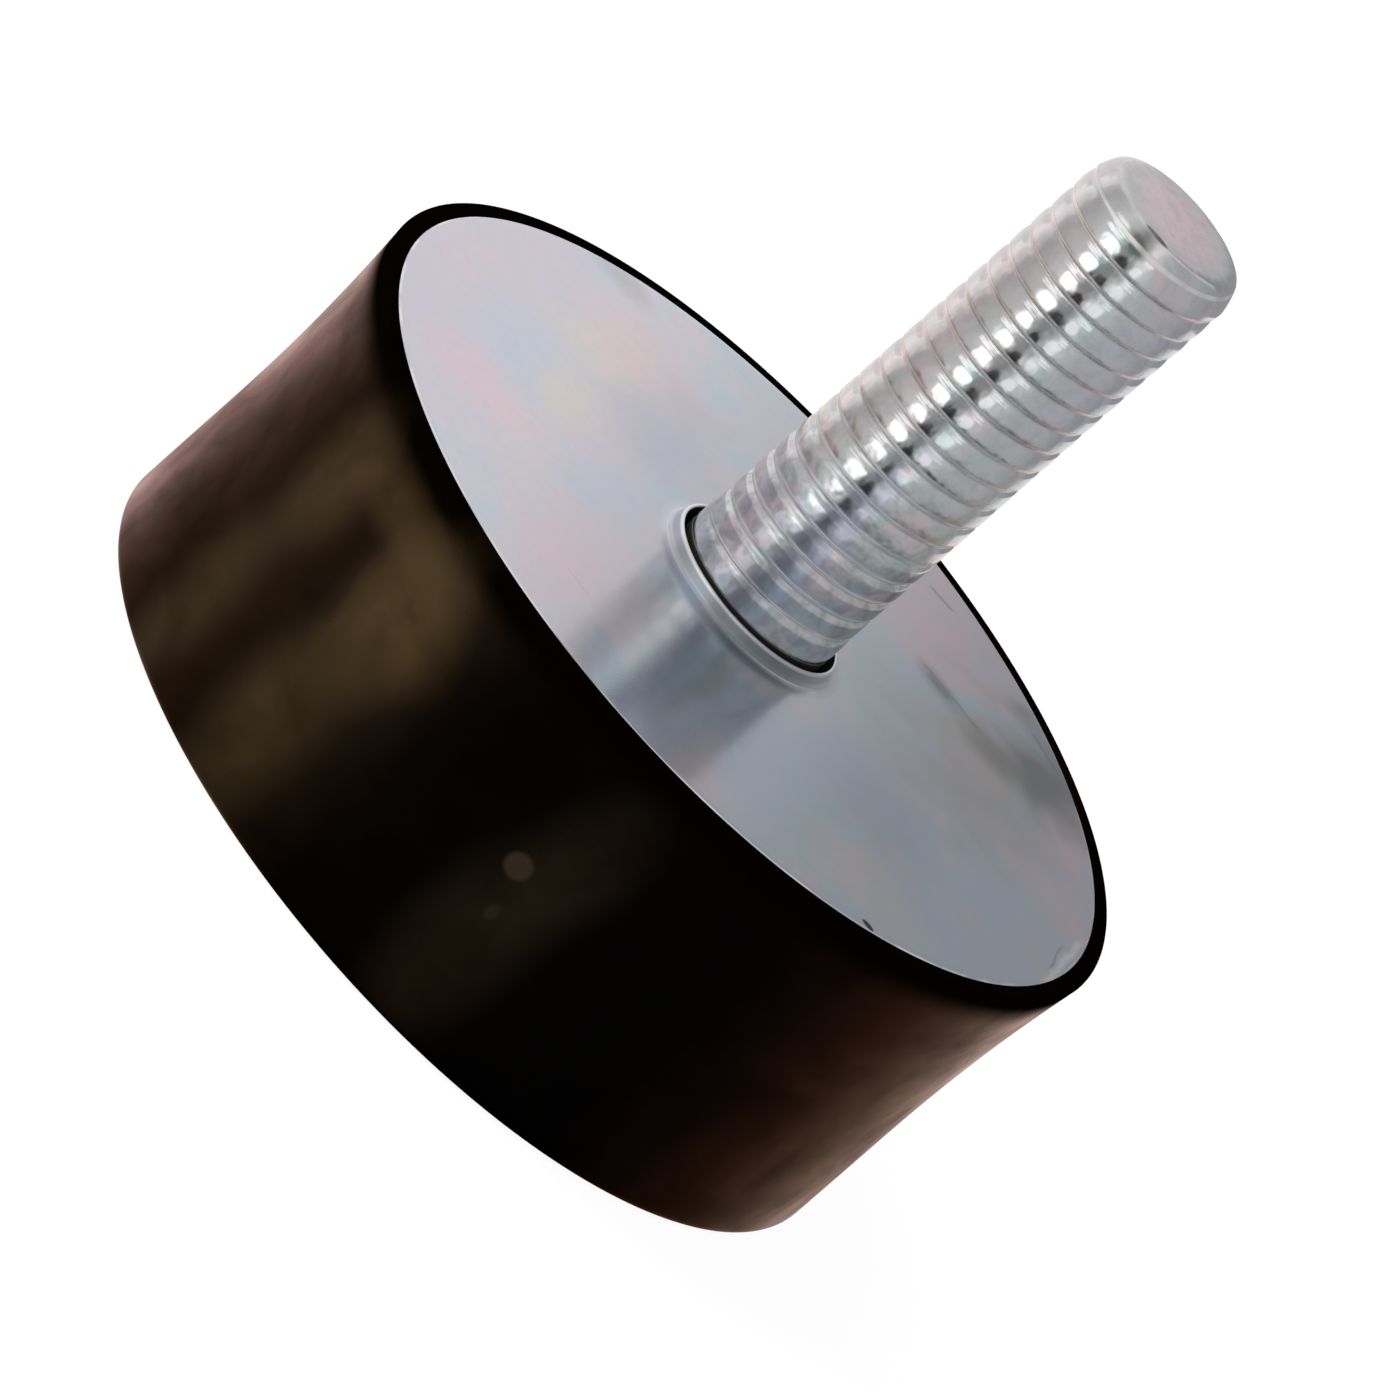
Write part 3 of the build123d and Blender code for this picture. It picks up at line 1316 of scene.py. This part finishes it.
        # rows outside the threaded stretch, or less than half a row inside it, join the rings at its ends
        near_enough = 0.4 * self.lower_flank / self.row_counts[3]
        numbers = np.where(z <= start_z + near_enough, shank[-1] + columns, numbers)
        numbers = np.where(z >= tip_z - near_enough, top + columns, numbers)
        self._weave(skin, numbers, len(turn_rows))
        inner = [skin.ring(r, tip_z) for r in self.end_rings]
        for lower, upper in zip([top] + inner, inner):
            skin.band(lower, upper)
        skin.fan(inner[-1], tip_z, outward_up=True)
        return skin.piece(self.name, self.crisp_angle)

    def _weave(self, skin: Skin, numbers: np.ndarray, per_turn: int) -> None:
        """Add the faces of the threaded stretch.

        Args:
            skin: The skin that they are added to.
            numbers: Vertex numbers by row and column. After one time round, a column's rows meet those of the
                first column one turn further on.
            per_turn: How many rows a turn has.
        """
        rows = numbers.shape[0]
        for k in range(rows - 1):
            for j in range(self.around):
                if j + 1 < self.around:
                    right = (numbers[k, j + 1], numbers[k + 1, j + 1])
                elif k + 1 + per_turn < rows:
                    right = (numbers[k + per_turn, 0], numbers[k + 1 + per_turn, 0])
                else:
                    continue
                loop = (numbers[k, j], *right, numbers[k + 1, j])
                corners = dict.fromkeys(int(number) for number in loop)
                if len(corners) > 2:
                    skin.faces.append(tuple(corners))


@dataclass(frozen=True)
class Oval:
    """A soft-edged bright or dark oval in the front of the studio, which the thread's crowned crests show.

    Its middle and half width are degrees round the stud, and its height and half height are parts of 1 up
    from the horizon. Its edge is blended over shares of its reach.
    """

    degrees: float
    half_width: float
    height: float
    half_height: float
    tone: float
    edge: Span = (1.15, 0.75)

    def mask(self, sideways: Value, up: Value) -> Value:
        """How far a direction is in the oval.

        Args:
            sideways: The direction's slope to the side.
            up: Its part up from the horizon.

        Returns:
            1 in the oval, and 0 outside.
        """
        middle = math.tan(math.radians(self.degrees))
        reach = math.tan(math.radians(abs(self.degrees) + self.half_width)) - abs(middle)
        across, upward = (sideways - middle) / reach, (up - self.height) / self.half_height
        return across.hypotenuse(upward).step(*self.edge)


@dataclass(frozen=True)
class Lamp:
    """A soft lamp that faces the mount, unseen by the camera and by what mirrors.

    It hangs at an azimuth from the camera's side towards +X and an elevation, both in degrees, and a distance
    in metres from the point of the axis that it faces, which is aim_z millimetres up. Its size is its width
    and height in metres, and a radiance of 1 is white.
    """

    name: str
    azimuth: float
    elevation: float
    distance: float
    size: Point
    radiance: float
    aim_z: float = 20.0

    def hang(self) -> bpy.types.Object:
        """Put the lamp into the scene.

        Returns:
            The lamp.
        """
        turn, rise = math.radians(self.azimuth), math.radians(self.elevation)
        way = Vector((math.sin(turn) * math.cos(rise), -math.cos(turn) * math.cos(rise), math.sin(rise)))
        data = bpy.data.lights.new(self.name, "AREA")
        data.shape = "RECTANGLE"
        data.size, data.size_y = self.size
        data.energy = self.radiance * math.pi * self.size[0] * self.size[1]
        lamp = in_scene(self.name, data)
        lamp.location = way * self.distance + Vector((0, 0, self.aim_z * MM))
        lamp.rotation_mode = "QUATERNION"
        lamp.rotation_quaternion = way.to_track_quat("Z", "Y")
        lamp.visible_camera = lamp.visible_glossy = False
        return lamp


@dataclass
class Studio:
    """Plain studio: white surroundings, a pale floor, soft lamps, and the camera at the photograph's angle.

    The floor's side is metres and the disc's middle is a pixel of the photograph. Tones are shares of white.
    A tone of the front stands beside its degrees round the stud, a tone of the floor beside the degrees round
    the rubber's wall that mirror it, and a tone of the card beside its place from 0 to 1. Depths and the span
    of the back are measured along a direction of length 1, towards the back.
    """

    field_width: float = 70.0
    distance: float = 1500.0
    sensor: float = 36.0
    elevation: float = 20.5
    axis_tilt: float = 41.3
    frame_side: int = 1400
    disc_pixel: Point = (749.5, 599.0)
    disc_centre_z: float = FACE_Z
    world_strength: float = 0.35
    floor_side: float = 6.0
    floor_gap: float = 0.02
    floor_grey: float = 0.80
    floor_glow: float = 0.82
    floor_white: float = 1.14
    mat_radii: Span = (66.0, 92.4)
    wall_radius: float = 24.7
    brightest: float = 2.2
    back_tone: float = 0.95
    back_from: Span = (0.50, 0.80)
    card_middle: Triple = (0.0, 130.0, 80.0)
    card_size: Point = (460.0, 160.0)
    card_tones: tuple[Point, ...] = ((0.0, 0.92), (0.466, 0.92), (0.528, 0.40), (0.6, 0.37), (1.0, 0.5))
    camera_depth: float = 0.94
    least_depth: float = 0.1
    front_span: float = 4.0
    front_tones: tuple[Point, ...] = (
        (-62, 1.2), (-54, 0.98), (-50, 0.72), (-46, 0.64), (-40, 0.72), (-34, 0.80), (-24, 0.90), (-14, 0.70),
        (-11, 0.50), (-8, 0.38), (-3.5, 0.34), (0, 0.60), (4, 1.02), (8, 1.06), (11, 0.82), (16, 0.66),
        (24, 0.58), (45, 0.56), (60, 0.42))
    front_ovals: tuple[Oval, ...] = (
        Oval(-16.9, 6.0, -0.33, 0.34, 2.15), Oval(-4.2, 4.3, -0.52, 0.30, 0.06),
        Oval(6.0, 4.0, -0.30, 0.26, 1.3), Oval(-22.0, 7.0, 0.34, 0.16, 1.6), Oval(9.0, 4.0, 0.34, 0.16, 1.3))
    floor_tones: tuple[tuple[float, float, float, float], ...] = (
        (-90, 1.5, 1.1, 1.0), (-76, 1.12, 0.68, 0.62), (-72, 0.97, 0.57, 0.51), (-63, 0.50, 0.28, 0.19),
        (-58, 0.28, 0.14, 0.08), (-54, 0.20, 0.09, 0.05), (-47, 0.46, 0.32, 0.20), (-41, 0.28, 0.14, 0.06),
        (-35, 0.20, 0.11, 0.05), (-29.5, 0.52, 0.34, 0.17), (-23.5, 0.50, 0.33, 0.14),
        (-18, 0.20, 0.09, 0.03), (-12, 0.02, 0.005, 0.0), (0, 0.0, 0.0, 0.0), (35, 0.0, 0.0, 0.0),
        (40.5, 0.06, 0.015, 0.006), (47, 0.10, 0.037, 0.02), (54, 0.22, 0.07, 0.03), (63, 0.35, 0.175, 0.11),
        (72, 0.55, 0.34, 0.25), (80, 0.95, 0.65, 0.55), (90, 1.4, 1.0, 0.9))
    lamps: tuple[Lamp, ...] = (
        Lamp("left_softbox", -75.0, 30.0, 1.2, (0.8, 0.8), 5.0),
        Lamp("overhead_softbox", -140.0, 62.0, 1.2, (0.5, 0.7), 1.5),
        Lamp("right_softbox", 110.0, 50.0, 1.4, (0.6, 0.6), 1.5))

    def camera(self) -> bpy.types.Object:
        """Set up the camera.

        Returns:
            The camera, far off with a long lens, rolled so that the stud points to the upper right.
        """
        rise, roll = math.radians(self.elevation), math.radians(self.axis_tilt)
        back = Vector((0, -math.cos(rise), math.sin(rise)))
        axis_in_view = Vector((0, math.sin(rise), math.cos(rise)))
        side = Vector((1, 0, 0))
        right = axis_in_view * math.cos(roll) + side * math.sin(roll)
        up = axis_in_view * math.sin(roll) - side * math.cos(roll)
        scale = self.field_width / self.frame_side
        middle = self.frame_side / 2
        across, down = ((place - middle) * scale for place in self.disc_pixel)
        target = Vector((0, 0, self.disc_centre_z)) - right * across + up * down
        data = bpy.data.cameras.new("camera")
        data.sensor_width = self.sensor
        data.lens = self.sensor * self.distance / self.field_width
        data.clip_start, data.clip_end = 0.05, 50.0
        camera = in_scene("camera", data)
        turn = Matrix((right, up, back)).transposed().to_4x4()
        camera.matrix_world = Matrix.Translation((target + back * self.distance) * MM) @ turn
        bpy.context.scene.camera = camera
        return camera

    @staticmethod
    def shown_to(graph: Graph, *kinds: Ray) -> Value:
        """Tell rays of some kinds from others.

        Args:
            graph: The graph of the material or world.
            kinds: The kinds of ray.

        Returns:
            1 for rays of these kinds and 0 for others.
        """
        path = graph.node("ShaderNodeLightPath")
        total = Value(graph, path.outputs[kinds[0].value])
        for kind in kinds[1:]:
            total = total + Value(graph, path.outputs[kind.value])
        return total.clamped()

    def world(self) -> None:
        """Make the surroundings white to the camera, dim for what they light, and a studio for what mirrors.

        The studio is nearly white behind the mount. In front it is graded from side to side, with bright and
        dark ovals below and above the horizon, which the stud shows along its whole length.
        """
        world = bpy.data.worlds.new("studio_white")
        world.use_nodes = True
        bpy.context.scene.world = world
        graph = Graph(world.node_tree)
        x, y, z = graph.parts(graph.node("ShaderNodeTexCoord").outputs["Generated"])
        # tangent of the angle round the stud that mirrors this direction to the camera
        sideways = x / (self.camera_depth - y).most(self.least_depth)
        front = graph.ramp(sideways / self.front_span + 0.5, self.front_stops())
        front = graph.scaled(front, (self.brightest,) * 3)
        for oval in self.front_ovals:
            front = graph.mix(oval.mask(sideways, z), front, (oval.tone,) * 3)
        walls = graph.mix(y.step(*self.back_from), front, (self.back_tone,) * 3)
        mirrored = self.shown_to(graph, Ray.GLOSSY, Ray.TRANSMISSION)
        colour = graph.mix(mirrored, (self.world_strength,) * 3, walls)
        colour = graph.mix(self.shown_to(graph, Ray.CAMERA), colour, (1.0, 1.0, 1.0))
        light = graph.node("ShaderNodeBackground", None, {"Color": colour, "Strength": 1.0})
        graph.put_out(light, "ShaderNodeOutputWorld")

    def front_stops(self) -> list[tuple[float, Triple]]:
        """Stops of the ramp across the studio's front.

        Returns:
            Place from 0 to 1, and grey tone as a share of the brightest.
        """
        stops = []
        for degrees, tone in self.front_tones:
            place = math.tan(math.radians(degrees)) / self.front_span + 0.5
            stops.append((min(1.0, max(0.0, place)), (tone / self.brightest,) * 3))
        return stops

    def floor_stops(self) -> list[tuple[float, tuple[float, ...]]]:
        """Stops of the ramp of the floor's tones.

        Returns:
            Place from 0 to 1, and colour as shares of the brightest tone.
        """
        return [(degrees / 180 + 0.5, tuple(part / self.brightest for part in tone))
                for degrees, *tone in self.floor_tones]

    def mirroring_angle(self, x: Value, y: Value, from_axis: Value, first_guess: float = 0.62,
                        rounds: int = 4) -> Value:
        """Find where the rubber's wall mirrors a point of the floor towards the photograph's camera.

        Args:
            x: The point's place along X in metres.
            y: Its place along Y.
            from_axis: Its distance from the mount's axis.
            first_guess: What share of the point's own angle the search starts from.
            rounds: How many times the guess is made better.

        Returns:
            The wall's angle there in radians, from the camera's side towards +X.
        """
        wall = self.wall_radius * MM
        around = x.math("ARCTAN2", x, -y)
        angle = around * first_guess
        for _ in range(rounds):
            sine, cosine = angle.math("SINE", angle), angle.math("COSINE", angle)
            way = (from_axis * from_axis - sine * sine * wall ** 2).most(0.0).root() - cosine * wall
            angle = around - way.math("ARCTAN2", way * sine, way * cosine + wall)
        return angle

    def floor(self) -> bpy.types.Object:
        """Lay the floor under the rubber's foot.

        Returns:
            The floor, pale, white to the camera apart from the mount's shadow, and toned round the mount for
            what mirrors it.
        """
        floor = sheet("floor", self.floor_side, self.floor_side)
        floor.location.z = -self.floor_gap * MM
        material, graph = new_material("floor_white")
        x, y, _ = graph.parts(graph.node("ShaderNodeTexCoord").outputs["Object"])
        from_axis = x.hypotenuse(y)
        angle = self.mirroring_angle(x, y, from_axis) / math.pi + 0.5
        toned = graph.scaled(graph.ramp(angle, self.floor_stops()), (self.brightest,) * 3)
        camera = self.shown_to(graph, Ray.CAMERA)
        mirrored = self.shown_to(graph, Ray.GLOSSY, Ray.TRANSMISSION)
        far = from_axis.step(*(radius * MM for radius in self.mat_radii))
        matt = graph.node("ShaderNodeBsdfDiffuse", None, {"Color": (self.floor_grey,) * 3})
        colour = graph.mix(camera, toned, (self.floor_white,) * 3)
        glow = graph.node("ShaderNodeEmission", None, {"Color": colour, "Strength": 1.0})
        glowing = (camera * self.floor_glow + mirrored).clamped()
        surface = graph.layered(glowing, matt, glow)
        surface = graph.layered(far * mirrored, surface, graph.node("ShaderNodeBsdfTransparent"))
        graph.put_out(surface)
        floor.data.materials.append(material)
        return floor

    def card(self) -> bpy.types.Object:
        """Stand one graded card behind the mount, which shows only in the metal and the rubber's gloss.

        Returns:
            The card.
        """
        width, height = (side * MM for side in self.card_size)
        card = sheet("back_card", width, height)
        card.location = Vector(self.card_middle) * MM
        card.rotation_mode = "QUATERNION"
        card.rotation_quaternion = Vector((0, -1, 0)).to_track_quat("Z", "Y")
        material, graph = new_material("back_card")
        across = graph.parts(graph.node("ShaderNodeTexCoord").outputs["Object"])[0]
        stops = [(place, (tone,) * 3) for place, tone in self.card_tones]
        colour = graph.ramp(across / width + 0.5, stops)
        graph.put_out(graph.node("ShaderNodeEmission", None, {"Color": colour, "Strength": 1.0}))
        card.data.materials.append(material)
        card.visible_camera = card.visible_diffuse = card.visible_shadow = False
        return card

    def build(self) -> None:
        """Set up the whole studio."""
        self.camera()
        self.world()
        self.floor()
        for lamp in self.lamps:
            lamp.hang()
        self.card()
        LOG.info("studio: camera, white world, floor, %d lamps and one card", len(self.lamps))


def main() -> None:
    """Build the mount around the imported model."""
    logging.basicConfig(level=logging.INFO, format="%(message)s")
    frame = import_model()
    LOG.info("packed model: nodes %s", ", ".join(sorted(frame["nodes"])))
    bpy.context.scene.view_settings.view_transform = "Standard"
    for part in (RubberBody(), TopPlate(), StudBolt()):
        part.place()
    Studio().build()


if __name__ == "__main__":
    main()
